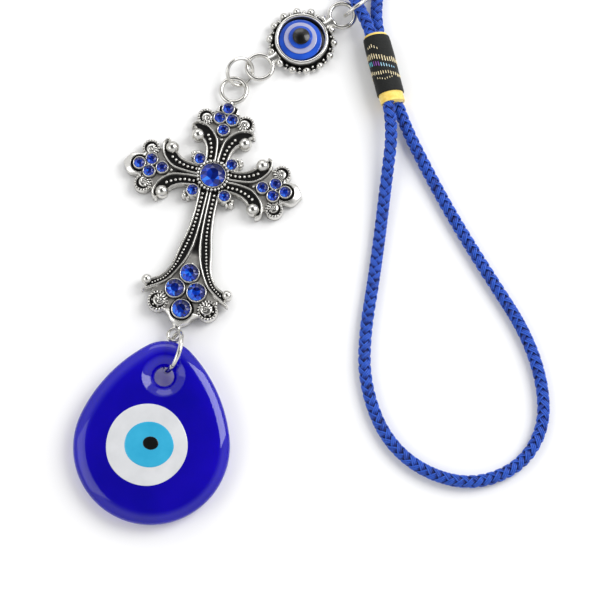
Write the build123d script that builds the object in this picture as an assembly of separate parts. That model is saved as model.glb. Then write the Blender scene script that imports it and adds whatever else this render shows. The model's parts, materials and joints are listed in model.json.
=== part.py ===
from build123d import *
import os
from math import atan2, cos, degrees, pi, radians, sin, sqrt, tan

# Evil eye hanging ornament, lying flat on its back as a chain of seven linked bodies: a braided
# hanging cord with a woven sleeve, a cord ring, a round eye connector, a link ring, a stone-set
# cross, a drop ring and a pierced glass drop. Millimetres and degrees. +Z is up from the surface
# it lies on, +Y runs up the ornament, and the origin is under the middle of the chain, on the
# surface, halfway between the cord ring and the foot of the glass drop.

# ---- cord and sleeve ----
CORD_D = 3.4
CORD_R = CORD_D / 2
RUN_SHARE = 0.45            # part of the shorter run that each bend of a cord takes up
SLEEVE_TOP = (39.30, 58.05)
SLEEVE_LENGTH = 16.0
SLEEVE_TURN = 13.39         # the sleeve's lower end swings this far towards +X
SLEEVE_Z = 3.9
SLEEVE_AXES = (4.0, 3.3)    # half width and half height of its oval section
SLEEVE_ROLL = 50.0          # the oval's long axis rises towards -X by this much
SLEEVE_WALL = 0.35
SLEEVE_TAPER = (0.98, 1.04)  # scale of the section at the top and at the bottom
STRAND_SIDE = 1.1           # each strand's place off the sleeve's axis: sideways and in height
STRAND_RISE = 1.33
STRAND_INSET = 3.0          # the loops run this far into the sleeve at each end
WHIP_OUT = (0.5, 2.6)       # thread whipping beyond the sleeve's top and bottom ends
WHIP_GAP = 0.02

# Routes of the two cord loops, hand-placed corner points from one sleeve end round to the other.
HANGING_ROUTE = [
    (41.24, 45.149, 5.23), (43.671, 34.934, 5.23), (41.6, 19.0, 2.6), (39.8, 4.5, 1.7),
    (38.0, -8.0, 1.7), (35.7, -21.5, 1.7), (35.6, -34.0, 1.7), (40.2, -47.5, 1.7),
    (49.2, -56.2, 1.7), (61.8, -60.0, 1.7), (74.0, -55.8, 1.7), (80.6, -46.0, 1.7),
    (80.8, -34.0, 1.7), (76.6, -20.5, 1.7), (68.4, -7.0, 1.7), (59.2, 8.8, 1.7),
    (51.5, 24.0, 1.7), (45.302, 37.584, 2.57), (43.38, 45.658, 2.57),
]
CHARM_ROUTE = [
    (38.925, 54.877, 5.23), (37.536, 60.714, 5.23), (34.9, 66.2, 4.9), (32.9, 72.0, 2.9),
    (30.1, 79.6, 1.75), (31.7, 83.6, 1.7), (35.6, 85.4, 1.7), (39.6, 84.1, 1.7),
    (41.8, 80.5, 1.7), (40.6, 74.6, 1.7), (39.4, 67.6, 1.9), (39.768, 60.834, 2.57),
    (41.065, 55.386, 2.57),
]

# ---- loose rings: centre, wire circle radius, wire radius, lean and heading ----
CORD_RING = {"at": (34.15, 66.84, 4.09), "r": 3.7, "wire": 0.5, "lean": 105.8, "heading": -51.1}
LINK_RING = {"at": (3.588, 49.177, 2.795), "r": 3.6, "wire": 0.45, "lean": 39.4, "heading": -48.1}
DROP_RING = {"at": (-12.77, -26.74, 5.46), "r": 5.2, "wire": 0.6, "lean": 112.8, "heading": -15.5}

# ---- eye connector ----
CONNECTOR_AT = (19.75, 58.15)
BACK_R = 8.2
BACK_T = 1.5
BEZEL_R = 7.05
BEZEL_BORE = 6.1
BEZEL_TOP = 4.1
EYE_FLOOR = 1.0
EYE_GAP = 0.05
EYE_BASE_TOP = 3.5
EYE_LAYERS = [              # name, radius, offset, bottom and top of each poured layer
    ("eye_white", 4.35, (-0.35, 0.2), 3.5, 3.9),
    ("eye_blue", 3.25, (-0.3, 0.3), 3.9, 4.3),
    ("eye_pupil", 2.25, (-0.15, 0.4), 4.3, 5.1),
]
GRANULE_R = 0.95
GRANULE_RING_R = 8.2
GRANULE_Z = 1.85
GRANULE_PITCH = 25.7
GRANULE_STARTS = (47.4, 227.4)
GRANULES_PER_SIDE = 7
LOW_GRANULE = (0.7, 8.7, 1.0)   # radius, ring radius and height of the low outer balls
EYE_LOOP_R = 3.375
EYE_LOOP_WIRE = 0.575
EYE_LOOPS = [(-11.04, -7.33, 1.986), (10.73, 7.25, 2.0)]
STUB_W = 3.0
STUB_T = 1.6
STUB_SPAN = (7.5, 10.2)

# ---- cross: own frame has +Y up its long axis, z = 0 on its back ----
CROSS_AT = (-3.4, 19.9, 0.48)
CROSS_LEAN = 12.0
CROSS_TIP = 1.3             # the lower end is raised by this slope
WEB_T = 2.0
BAND_T = 2.7
RIM_T = 3.3
RIM_W = 0.45
CURL_T = 2.8
CURL_W = 0.75
CENTRE_STONE = (0.1, 0.4, 3.2)          # x, y and radius
CENTRE_TOP = 4.2
CORNER_STONE = (4.2, 4.35, 1.35)
CORNER_TIP = (6.2, 5.9, 0.6)
SMALL_STONE_R = 1.35
SMALL_STONES = [(0.0, 13.3), (-1.65, 16.4), (1.65, 16.4), (0.0, 19.3)]
LARGE_STONE_R = 2.25
LARGE_STONES = [(0.0, -26.3), (-2.8, -30.9), (2.8, -30.9), (0.0, -35.9)]
BEZEL_WALL = 0.35
STONE_TOP = 3.5
STONE_GAP = 0.03
ARM_BALL = (6.15, 11.7, 1.8)            # x, y and radius of the balls beside each short arm
ARM_CURL = (4.9, 17.2, 2.35)
FOOT_BALL = (10.5, -29.85, 1.4)
FOOT_CURL = (6.5, -34.85, 2.7)
CROSS_LOOP_TOP = (0.14, 25.0, 1.977, 3.325, 0.6)     # x, y, z, wire circle radius, wire radius
CROSS_LOOP_LOW = (-0.3, -42.7, 1.95, 1.65, 0.45)

# ---- glass drop: own frame has its origin at the hanging hole, z = 0 on its back ----
DROP_AT = (-14.81, -32.75, 2.16)
DROP_LEAN = 9.5
DROP_TIP = 3.5              # the hole's end is raised by this slope
DROP_T = 5.6
DROP_EDGE = 2.2             # edge rounding, front and back
FOOT_Y = -17.8              # centres and radii of the outline's circles
FOOT_R = 19.6
TOP_Y = -0.15
TOP_R = 9.2
FLANK_R = 38.0
HOLE_R = 2.5
HOLE_FLARE = 2.2
DROP_LAYERS = [             # name, radius, centre and thickness of each fused disc
    ("drop_white", 10.5, (-1.0, -17.9), 0.5),
    ("drop_light_blue", 5.95, (-0.6, -17.7), 0.3),
    ("drop_pupil", 1.8, (-0.3, -17.3), 0.25),
]


def save(name, shape):
    shape.label = name
    export_step(shape, "parts/" + name + ".step")


def lying(at, lean, tip=0.0):
    """The frame of a piece that lies at a place, leans clockwise and slopes along its length."""
    return Pos(*at) * Rot(0, 0, -lean) * Rot(tip, 0, 0)


def ball(x, y, z, radius):
    return Pos(x, y, z) * Sphere(radius)


def disc(x, y, z, radius, height):
    return Pos(x, y, z) * Cylinder(radius, height, align=(Align.CENTER, Align.CENTER, Align.MIN))


def plate(edges, height):
    """A flat plate on z = 0 whose outline is the given chain of edges."""
    return extrude(make_face(edges), height, dir=(0, 0, 1))


def mirrored(shape):
    return shape + mirror(shape, Plane.YZ)


def wire_loop(x, y, z, radius, wire):
    return Pos(x, y, z) * Torus(radius, wire)


def loose_ring(size):
    """A round wire ring; its axis leans from upright towards the heading."""
    turn = Rot(0, 0, size["heading"]) * Rot(0, size["lean"], 0)
    return Pos(*size["at"]) * turn * Torus(size["r"], size["wire"])


# ---------------------------------------------------------------- cords and sleeve
def cord_tube(name, points):
    """A round tube along the route: straight runs joined by tangent arcs."""
    vectors = [Vector(*p) for p in points]
    radii = []
    for before, corner, after in zip(vectors, vectors[1:], vectors[2:]):
        run_in, run_out = corner - before, after - corner
        half_turn = radians(run_in.get_angle(run_out)) / 2
        radii.append(RUN_SHARE * min(run_in.length, run_out.length) / tan(half_turn))
    path = FilletPolyline(*vectors, radius=radii)
    section = Plane(origin=path @ 0, z_dir=path % 0) * Circle(CORD_R)
    tube = sweep(section, path=path)
    share = tube.volume / (path.length * CORD_R * CORD_R * pi)
    print(name, "length", round(path.length, 1), "volume share", round(share, 4))
    print("  radii", [round(r, 1) for r in radii])
    return tube


def sleeve_frame(distance):
    """The section plane of the sleeve at a distance below its top end, facing down its axis."""
    turn = radians(SLEEVE_TURN)
    x = SLEEVE_TOP[0] + distance * sin(turn)
    y = SLEEVE_TOP[1] - distance * cos(turn)
    return Plane(origin=(x, y, SLEEVE_Z), x_dir=(cos(turn), sin(turn), 0),
                 z_dir=(sin(turn), -cos(turn), 0))


def sleeve_core(low, high, inset):
    """A tapering oval bar along the sleeve's axis, this far inside its surface."""
    sections = []
    for distance in (low, high):
        share = distance / SLEEVE_LENGTH
        scale = SLEEVE_TAPER[0] + (SLEEVE_TAPER[1] - SLEEVE_TAPER[0]) * share
        oval = Ellipse(SLEEVE_AXES[0] * scale - inset, SLEEVE_AXES[1] * scale - inset)
        sections.append(sleeve_frame(distance) * Rot(0, 0, -SLEEVE_ROLL) * oval)
    return loft(sections)


def strand(side, low, high, radius):
    """A straight strand inside the sleeve: side -1 is the raised one, +1 the lower one."""
    frame = sleeve_frame(low)
    centre = frame.origin + frame.x_dir * (side * STRAND_SIDE) - Vector(0, 0, side * STRAND_RISE)
    start = Plane(origin=centre, x_dir=frame.x_dir, z_dir=frame.z_dir)
    return extrude(start * Circle(radius), high - low)


def make_hanger():
    save("hanging_loop_cord", cord_tube("hanging_loop_cord", HANGING_ROUTE))
    save("charm_loop_cord", cord_tube("charm_loop_cord", CHARM_ROUTE))
    low, high = STRAND_INSET, SLEEVE_LENGTH - STRAND_INSET
    save("bound_strand_left", strand(-1, low, high, CORD_R))
    save("bound_strand_right", strand(1, low, high, CORD_R))
    sleeve = sleeve_core(0, SLEEVE_LENGTH, 0) - sleeve_core(0, SLEEVE_LENGTH, SLEEVE_WALL)
    save("woven_sleeve", sleeve)
    low, high = -WHIP_OUT[0], SLEEVE_LENGTH + WHIP_OUT[1]
    whipping = sleeve_core(low, high, SLEEVE_WALL)
    for side in (-1, 1):
        whipping -= strand(side, low - 1, high + 1, CORD_R + WHIP_GAP)
    save("thread_whipping", whipping)


# ---------------------------------------------------------------- eye connector
def eye_spot(radius, angle, z, size):
    return ball(radius * cos(radians(angle)), radius * sin(radians(angle)), z, size)


def make_connector():
    place = Pos(*CONNECTOR_AT, 0)
    frame = disc(0, 0, 0, BACK_R, BACK_T) + disc(0, 0, 0, BEZEL_R, BEZEL_TOP)
    for start in GRANULE_STARTS:
        for k in range(GRANULES_PER_SIDE):
            angle = start + k * GRANULE_PITCH
            frame += eye_spot(GRANULE_RING_R, angle, GRANULE_Z, GRANULE_R)
            if k < GRANULES_PER_SIDE - 1:
                between = angle + GRANULE_PITCH / 2
                frame += eye_spot(LOW_GRANULE[1], between, LOW_GRANULE[2], LOW_GRANULE[0])
    for x, y, z in EYE_LOOPS:
        middle = sum(STUB_SPAN) / 2
        stub = Pos(middle, 0, z) * Box(STUB_SPAN[1] - STUB_SPAN[0], STUB_W, STUB_T)
        frame += Rot(0, 0, degrees(atan2(y, x))) * stub
    pocket = disc(0, 0, EYE_FLOOR, BEZEL_BORE, BEZEL_TOP)
    for x, y, z in EYE_LOOPS:
        frame += wire_loop(x, y, z, EYE_LOOP_R, EYE_LOOP_WIRE)
    frame -= pocket
    save("connector_frame", place * frame)
    base = disc(0, 0, EYE_FLOOR, BEZEL_BORE - EYE_GAP, EYE_BASE_TOP - EYE_FLOOR)
    save("eye_base", place * base)
    for name, radius, offset, low, high in EYE_LAYERS:
        layer = disc(*offset, low, radius, high - low)
        top = layer.edges().group_by(Axis.Z)[-1]
        save(name, place * fillet(top, (high - low) * 0.6))


# ---------------------------------------------------------------- cross
def ribbon(points, width, height):
    """A raised rim of constant width along a smooth line through the points."""
    line = Spline(*points)
    sides = ([], [])
    for k in range(len(points)):
        share = line.param_at_point(Vector(*points[k]))
        centre, along = line @ share, line % share
        across = Vector(-along.Y, along.X) * (width / 2)
        sides[0].append(centre + across)
        sides[1].append(centre - across)
    left, right = Spline(*sides[0]), Spline(*sides[1])
    ends = [Line(left @ 0, right @ 0), Line(left @ 1, right @ 1)]
    return plate([left, right, *ends], height)


def notched_curl(x, y, radius):
    """A round curl: a raised ring with a ball at its centre."""
    ring = disc(x, y, 0, radius, CURL_T) - disc(x, y, WEB_T, radius - CURL_W, CURL_T)
    return ring + ball(x, y, WEB_T, radius * 0.34)


def bezel(x, y, radius, top):
    return disc(x, y, 0, radius + BEZEL_WALL, top)


def short_arm(ball_x, ball_y, curl_x, curl_y, tip_y):
    """One short arm pointing up +Y: web, two curling bands, balls, side curls and an ogee tip."""
    web = plate([Polyline((0, 2), (2.7, 2), (2.8, 8), (4.0, 11), (5.6, 14), (6.0, 17.0),
                          (2.6, tip_y - 2.2), (2.2, tip_y - 1.3), (0, tip_y)),
                 Line((0, tip_y), (0, 2))], WEB_T)
    inner = [(0.4, 3.3), (0.5, 7.0), (1.0, 10.2), (2.3, 12.3), (4.2, 13.8), (6.2, 14.4), (8.0, 13.9)]
    outer = [(2.8, 3.3), (2.9, 6.0), (3.3, 8.0), (4.2, 9.8)]
    band = plate([Spline(*inner), Line(inner[-1], (7.4, 12.9)), Line((7.4, 12.9), outer[-1]),
                  Spline(*outer), Line(outer[0], inner[0])], BAND_T)
    half = web + band + ribbon(inner, RIM_W, RIM_T) + ball(ball_x, ball_y, WEB_T, ARM_BALL[2])
    half += disc(ball_x, ball_y, 0, ARM_BALL[2] * 0.9, WEB_T)
    half += notched_curl(curl_x, curl_y, ARM_CURL[2])
    return mirrored(half)


def long_arm():
    """The long lower arm pointing down -Y: it flares to a foot with balls, curls and a tip."""
    inner = [(0.4, -3.3), (0.5, -10), (0.65, -15), (1.1, -20), (2.5, -24), (5.0, -28.5),
             (7.0, -30.3), (11.0, -32.8)]
    outer = [(2.6, -3.3), (2.65, -10), (3.2, -15), (4.3, -20), (5.2, -25), (7.0, -28), (9.6, -29.4)]
    band = plate([Spline(*inner), Line(inner[-1], outer[-1]), Spline(*outer),
                  Line(outer[0], inner[0])], BAND_T)
    web = plate([Polyline((0, -2), (1.5, -2), (1.5, -20), (6.0, -29), (8.6, -32.0), (8.6, -35.5),
                          (3.3, -37.5), (2.0, -39.2), (0, -40.3)), Line((0, -40.3), (0, -2))], WEB_T)
    half = web + band + ribbon(inner, RIM_W, RIM_T)
    half += ball(FOOT_BALL[0], FOOT_BALL[1], WEB_T, FOOT_BALL[2])
    half += disc(FOOT_BALL[0], FOOT_BALL[1], 0, FOOT_BALL[2] * 0.9, WEB_T)
    half += notched_curl(*FOOT_CURL)
    return mirrored(half)


def stone(radius, top, crown):
    """A round chaton seated with its girdle level with the top of its bezel."""
    depth = radius * 0.75
    profile = Polyline((0, top - depth), (radius * 0.35, top - depth), (radius, top - 0.15),
                       (radius, top), (radius * 0.55, top + crown), (0, top + crown),
                       (0, top - depth))
    return revolve(Plane.XZ * make_face(profile), Axis.Z)


def cross_seats():
    """Every stone of the cross as name, x, y, radius and the height of its bezel."""
    x, y, radius = CENTRE_STONE
    seats = [("stone_center", x, y, radius, CENTRE_TOP)]
    x, y, radius = CORNER_STONE
    for k, (sx, sy) in enumerate([(1, 1), (-1, 1), (-1, -1), (1, -1)], 1):
        seats.append((f"stone_corner_{k}", sx * x, sy * y, radius, STONE_TOP))
    for arm, turn in (("top", 0), ("left", 90), ("right", -90)):
        for k, (x, y) in enumerate(SMALL_STONES, 1):
            spot = Vector(x, y).rotate(Axis.Z, turn)
            seats.append((f"stone_{arm}_{k}", spot.X, spot.Y, SMALL_STONE_R, STONE_TOP))
    for k, (x, y) in enumerate(LARGE_STONES, 1):
        seats.append((f"stone_bottom_{k}", x, y, LARGE_STONE_R, STONE_TOP))
    return seats


def make_cross():
    place = lying(CROSS_AT, CROSS_LEAN, -CROSS_TIP)
    casting = short_arm(6.25, 11.0, 5.3, 16.2, 21.3)
    for turn in (90, -90):
        casting += Rot(0, 0, turn) * short_arm(6.1, 12.05, 4.9, 17.4, 23.5)
    casting += long_arm()
    casting += disc(0, 0, 0, 5.2, WEB_T)
    x, y, size = CORNER_TIP
    for sx, sy in [(1, 1), (-1, 1), (-1, -1), (1, -1)]:
        casting += ball(sx * x, sy * y, WEB_T, size) + disc(sx * x * 0.93, sy * y * 0.93, 0, 1.0, WEB_T)
    for name, x, y, radius, top in cross_seats():
        casting += bezel(x, y, radius, top)
    for x, y, z, radius, wire in (CROSS_LOOP_TOP, CROSS_LOOP_LOW):
        casting += wire_loop(x, y, z, radius, wire)
        reach = abs(y) - radius
        casting += Pos(x, (reach - 0.5) * (1 if y > 0 else -1), z) * Box(2.2, 1.3, 2 * wire)
    for name, x, y, radius, top in cross_seats():
        casting -= disc(x, y, top - radius * 0.75, radius + STONE_GAP, top)
    save("cross_casting", place * casting)
    for name, x, y, radius, top in cross_seats():
        save(name, place * Pos(x, y, 0) * stone(radius, top, radius * 0.28))


# ---------------------------------------------------------------- glass drop
def drop_outline():
    """The egg-shaped outline: a foot circle and a top circle joined by two tangent flanks."""
    foot_gap, top_gap = FLANK_R - FOOT_R, FLANK_R - TOP_R
    spread = (top_gap**2 - foot_gap**2 + FOOT_Y**2 - TOP_Y**2) / (2 * (FOOT_Y - TOP_Y))
    centre = Vector(-sqrt(foot_gap**2 - (spread - FOOT_Y)**2), spread)
    foot_turn = atan2(FOOT_Y - centre.Y, -centre.X)
    top_turn = atan2(TOP_Y - centre.Y, -centre.X)
    turns = (foot_turn, (foot_turn + top_turn) / 2, top_turn)
    foot, middle, shoulder = [centre + Vector(cos(t), sin(t)) * FLANK_R for t in turns]
    flank = ThreePointArc(foot, middle, shoulder)
    other = mirror(flank, Plane.YZ)
    top = ThreePointArc(shoulder, (0, TOP_Y + TOP_R), (-shoulder.X, shoulder.Y))
    base = ThreePointArc((-foot.X, foot.Y), (0, FOOT_Y - FOOT_R), foot)
    return make_face([flank, top, other, base])


def make_drop():
    place = lying(DROP_AT, DROP_LEAN, DROP_TIP)
    glass = extrude(drop_outline(), DROP_T, dir=(0, 0, 1))
    glass = fillet(glass.edges().group_by(Axis.Z)[0] + glass.edges().group_by(Axis.Z)[-1], DROP_EDGE)
    glass -= disc(0, 0, -1, HOLE_R, DROP_T + 2)
    rims = glass.edges().filter_by(GeomType.CIRCLE).filter_by(lambda e: abs(e.radius - HOLE_R) < 0.01)
    glass = fillet(rims, HOLE_FLARE)
    level = DROP_T
    (white, radius, spot, thick) = DROP_LAYERS[0]
    glass -= disc(*spot, level - thick, radius, thick + 1)
    save("drop_glass", place * glass)
    for k, (name, radius, spot, thick) in enumerate(DROP_LAYERS):
        layer = disc(*spot, level - thick, radius, thick)
        if k + 1 < len(DROP_LAYERS):
            (_, next_radius, next_spot, next_thick) = DROP_LAYERS[k + 1]
            layer -= disc(*next_spot, level - next_thick, next_radius, thick + 1)
        save(name, place * layer)


make_hanger()
save("cord_ring", loose_ring(CORD_RING))
make_connector()
save("link_ring", loose_ring(LINK_RING))
make_cross()
save("drop_ring", loose_ring(DROP_RING))
make_drop()
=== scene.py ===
import json
import math

import bmesh
import bpy
import numpy as np
from mathutils import Matrix, Vector


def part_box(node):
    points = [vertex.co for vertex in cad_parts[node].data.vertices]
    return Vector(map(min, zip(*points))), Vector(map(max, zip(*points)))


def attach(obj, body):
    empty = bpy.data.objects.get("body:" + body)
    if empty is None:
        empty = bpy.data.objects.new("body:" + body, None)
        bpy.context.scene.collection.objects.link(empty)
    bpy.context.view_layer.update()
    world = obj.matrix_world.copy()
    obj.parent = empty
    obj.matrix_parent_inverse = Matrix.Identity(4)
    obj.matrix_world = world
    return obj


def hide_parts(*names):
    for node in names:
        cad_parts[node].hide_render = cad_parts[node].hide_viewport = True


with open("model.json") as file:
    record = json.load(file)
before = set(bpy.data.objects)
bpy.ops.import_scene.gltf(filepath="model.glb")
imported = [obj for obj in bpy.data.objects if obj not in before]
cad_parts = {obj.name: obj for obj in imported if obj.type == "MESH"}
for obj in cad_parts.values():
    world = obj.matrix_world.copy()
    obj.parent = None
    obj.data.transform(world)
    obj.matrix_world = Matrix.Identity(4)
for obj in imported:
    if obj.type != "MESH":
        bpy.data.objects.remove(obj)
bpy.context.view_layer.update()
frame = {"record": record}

MM = 0.001                  # everything below is in millimetres until a mesh is made
TAU = 2 * math.pi
RNG = np.random.default_rng(11)
UP = np.array([0.0, 0.0, 1.0])
WELD = 0.0008               # vertices closer than this become one

# ---- view: the middle of the picture on the floor, and the camera's distance and height ----
VIEW_AT = (19.3, -11.8, 0.0)
VIEW_ELEVATION = 76.0
VIEW_DISTANCE = 512.8
VIEW_LENS = 120.0

# ---- studio, in metres and watts: name, place, size and power of each light ----
LIGHTS = [("key", (0.44, 0.20, 0.46), (0.34, 0.5), 3.0),
          ("fill", (-0.50, -0.12, 0.50), (0.45, 0.45), 0.8),
          ("back", (-0.10, 0.62, 0.42), (0.5, 0.25), 0.8)]
LIGHT_AIM = (0.01, 0.0, 0.0)
FLOOR_SIDE, FLOOR_DROP = 1500.0, 0.02

# ---- cord, as in the CAD ----
CORD_R = 1.7
LAY_LENGTH = 9.4            # one full turn of a strand of the braid
CARRIERS = 4                # strands each way round
YARNS = 3                   # yarns side by side in a strand
YARN_W, YARN_T = 0.215, 0.21
YARN_PITCH = 0.53
WEAVE_DEPTH = 0.27          # strands rise and sink this far as they cross
BRAID_STEP = 0.36
HANGING_ROUTE = [
    (41.24, 45.149, 5.23), (43.671, 34.934, 5.23), (41.6, 19.0, 2.6), (39.8, 4.5, 1.7),
    (38.0, -8.0, 1.7), (35.7, -21.5, 1.7), (35.6, -34.0, 1.7), (40.2, -47.5, 1.7),
    (49.2, -56.2, 1.7), (61.8, -60.0, 1.7), (74.0, -55.8, 1.7), (80.6, -46.0, 1.7),
    (80.8, -34.0, 1.7), (76.6, -20.5, 1.7), (68.4, -7.0, 1.7), (59.2, 8.8, 1.7),
    (51.5, 24.0, 1.7), (45.302, 37.584, 2.57), (43.38, 45.658, 2.57),
]
CHARM_ROUTE = [
    (38.925, 54.877, 5.23), (37.536, 60.714, 5.23), (34.9, 66.2, 4.9), (32.9, 72.0, 2.9),
    (30.1, 79.6, 1.75), (31.7, 83.6, 1.7), (35.6, 85.4, 1.7), (39.6, 84.1, 1.7),
    (41.8, 80.5, 1.7), (40.6, 74.6, 1.7), (39.4, 67.6, 1.9), (39.768, 60.834, 2.57),
    (41.065, 55.386, 2.57),
]

# ---- sleeve and whipping ----
SLEEVE_TOP = np.array([39.30, 58.05, 3.9])
SLEEVE_LENGTH = 16.0
SLEEVE_TURN = math.radians(13.39)
SLEEVE_AXES = (4.0, 3.3)
SLEEVE_ROLL = math.radians(-50.0)
SLEEVE_WALL = 0.35
SLEEVE_SWELL = ([0, 0.12, 0.36, 0.6, 0.8, 1], [0.98, 1.02, 1.035, 1.025, 1.015, 1.02])
RIB_PITCH, WARPS, WEAVE_RELIEF = 0.42, 100, 0.035
THREAD_R = 0.19
WHIP_TOP, WHIP_BELOW, WHIP_INSIDE = 0.75, 2.6, 0.7     # past the top, past the bottom, tucked in
STRAND_SIDE, STRAND_RISE, STRAND_INSET = 1.1, 1.33, 3.0

# ---- rings ----
CORD_RING = {"at": (34.15, 66.84, 4.09), "r": 3.7, "wire": 0.54, "lean": 105.8, "heading": -51.1}
LINK_RING = {"at": (3.588, 49.177, 2.795), "r": 3.6, "wire": 0.5, "lean": 39.4, "heading": -48.1}
DROP_RING = {"at": (-12.77, -26.74, 5.46), "r": 5.2, "wire": 0.6, "lean": 112.8, "heading": -15.5}


# ================================================================ small tools
class Build:
    """Collects vertices and faces, in millimetres, for one mesh."""

    def __init__(self):
        self.points, self.faces, self.slots, self.values, self.count = [], [], [], [], 0

    def add(self, points, faces, slot=0, value=0.0):
        points = np.asarray(points, float)
        self.points.append(points)
        self.faces.append(np.asarray(faces, int) + self.count)
        self.slots.append(np.full(len(faces), slot))
        value = np.asarray(value, float)
        self.values.append(np.broadcast_to(value, len(points)) if value.ndim == 0 else value)
        self.count += len(points)
        return self

    def make(self, name, materials, place=None, smooth=True, weld=True):
        points = np.concatenate(self.points)
        if place is not None:
            points = points @ place[:3, :3].T + place[:3, 3]
        mesh = bpy.data.meshes.new(name)
        sizes = np.concatenate([np.full(len(f), f.shape[1]) for f in self.faces])
        corners = np.concatenate([f.ravel() for f in self.faces])
        mesh.vertices.add(len(points))
        mesh.vertices.foreach_set("co", (points * MM).ravel())
        mesh.loops.add(len(corners))
        mesh.loops.foreach_set("vertex_index", corners)
        mesh.polygons.add(len(sizes))
        mesh.polygons.foreach_set("loop_start", np.concatenate([[0], np.cumsum(sizes)[:-1]]))
        mesh.polygons.foreach_set("material_index", np.concatenate(self.slots))
        mesh.update(calc_edges=True)
        # Per-point tone: patina in the silver's hollows, painted shade on the cord and sleeve, a
        # painted glint on the stones.
        layer = mesh.attributes.new("patina_shade_and_glint", "FLOAT", "POINT")
        layer.data.foreach_set("value", np.concatenate(self.values))
        if weld:
            skin = bmesh.new()
            skin.from_mesh(mesh)
            bmesh.ops.remove_doubles(skin, verts=skin.verts, dist=WELD * MM)
            bmesh.ops.recalc_face_normals(skin, faces=skin.faces)
            skin.to_mesh(mesh)
            skin.free()
        mesh.validate()
        if smooth:
            mesh.shade_smooth()
        for material in materials:
            mesh.materials.append(material)
        piece = bpy.data.objects.new(name, mesh)
        bpy.context.collection.objects.link(piece)
        return piece


def grid_faces(rows, columns, around=False, closed=False):
    """Quads of a grid of points; around joins the last column to the first, closed the rows."""
    r = np.arange(rows if closed else rows - 1)
    c = np.arange(columns if around else columns - 1)
    a, b = np.meshgrid(r, c, indexing="ij")
    a2, b2 = (a + 1) % rows, (b + 1) % columns
    quads = [a * columns + b, a2 * columns + b, a2 * columns + b2, a * columns + b2]
    return np.stack(quads, -1).reshape(-1, 4)


def turn_about(axis, degrees):
    """Rotation about x, y or z, given as 0, 1 or 2."""
    c, s = math.cos(math.radians(degrees)), math.sin(math.radians(degrees))
    a, b = (axis + 1) % 3, (axis + 2) % 3
    turn = np.eye(3)
    turn[a, a] = turn[b, b] = c
    turn[a, b], turn[b, a] = -s, s
    return turn


def place_at(at, turn):
    place = np.eye(4)
    place[:3, :3] = turn
    place[:3, 3] = at
    return place


def spot(node):
    """The middle of a CAD node's box, in millimetres."""
    low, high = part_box(node)
    return np.array([(a + b) / 2 / MM for a, b in zip(low, high)])


def unit(vectors):
    return vectors / np.linalg.norm(vectors, axis=-1, keepdims=True)


def tube_rows(points, side, up, section):
    """Rows of a tube: the section's two numbers run along the side and up directions."""
    section = np.asarray(section, float)
    return (points[:, None] + side[:, None] * section[None, :, :1]
            + up[:, None] * section[None, :, 1:])


def add_tube(build, rows, slot=0, value=0.0, closed=False):
    """Skins rows of points; closed joins the last row to the first, or else both ends are capped."""
    n, m = rows.shape[:2]
    build.add(rows.reshape(-1, 3), grid_faces(n, m, around=True, closed=closed), slot, value)
    if closed:
        return
    k = np.arange(m)
    fan = np.stack([k, (k + 1) % m, np.full(m, m)], -1)
    for row, faces in ((rows[0], fan), (rows[-1], fan[:, ::-1])):
        build.add(np.vstack([row, row.mean(0)]), faces, slot, value if np.ndim(value) == 0 else 0.0)


def oval(width, height, count):
    t = np.arange(count) * TAU / count
    return np.stack([width * np.cos(t), height * np.sin(t)], -1)


def add_ball(build, centre, radius, slot=0, segments=20, squash=1.0):
    rings = segments // 2
    lat = (np.arange(1, rings) / rings - 0.5) * math.pi
    lon = np.arange(segments) * TAU / segments
    rows = np.stack([np.cos(lat)[:, None] * np.cos(lon), np.cos(lat)[:, None] * np.sin(lon),
                     np.repeat(np.sin(lat)[:, None] * squash, segments, 1)], -1) * radius
    build.add(rows.reshape(-1, 3) + centre, grid_faces(rings - 1, segments, around=True), slot)
    k = np.arange(segments)
    fan = np.stack([k, (k + 1) % segments, np.full(segments, segments)], -1)
    for row, pole, faces in ((rows[0], -1, fan[:, ::-1]), (rows[-1], 1, fan)):
        tip = np.array(centre) + [0, 0, pole * radius * squash]
        build.add(np.vstack([row + centre, tip]), faces, slot)


def smooth_line(points, per_span=8):
    """A Catmull-Rom line through the points."""
    p = np.array(points, float)
    p = np.vstack([2 * p[0] - p[1], p, 2 * p[-1] - p[-2]])
    out = []
    for a, b, c, d in zip(p, p[1:], p[2:], p[3:]):
        t = np.linspace(0, 1, per_span, endpoint=False)[:, None]
        out.append(0.5 * (2 * b + (c - a) * t + (2 * a - 5 * b + 4 * c - d) * t**2
                          + (3 * b - a - 3 * c + d) * t**3))
    return np.vstack(out + [p[-2][None]])


def distances(points):
    """How far along a line each of its points is."""
    runs = np.linalg.norm(np.diff(points, axis=0), axis=1)
    return np.concatenate([[0], np.cumsum(runs)])


def at_distance(points, along, s):
    """The points of a line at distances s, given the distances of its own points."""
    return np.stack([np.interp(s, along, column) for column in points.T], -1)


def resample(points, step):
    """The same line with points a step apart, and the distance of each along it."""
    along = distances(points)
    s = np.linspace(0, along[-1], max(2, round(along[-1] / step) + 1))
    return at_distance(points, along, s), s


# ================================================================ materials
def material(name, **values):
    """A new material, its tree and its shader, with the shader's uniform values set."""
    m = bpy.data.materials.new(name)
    m.use_nodes = True
    shader = m.node_tree.nodes["Principled BSDF"]
    for key, value in values.items():
        shader.inputs[key.replace("_", " ")].default_value = value
    return m, m.node_tree, shader


def node(tree, kind, **settings):
    n = tree.nodes.new(kind)
    for key, value in settings.items():
        setattr(n, key, value)
    return n


def noise(tree, scale, detail=3.0):
    n = node(tree, "ShaderNodeTexNoise")
    n.inputs["Scale"].default_value = scale
    n.inputs["Detail"].default_value = detail
    n.inputs["Roughness"].default_value = 0.55
    tree.links.new(node(tree, "ShaderNodeTexCoord").outputs["Object"], n.inputs["Vector"])
    return n.outputs["Fac"]


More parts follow.
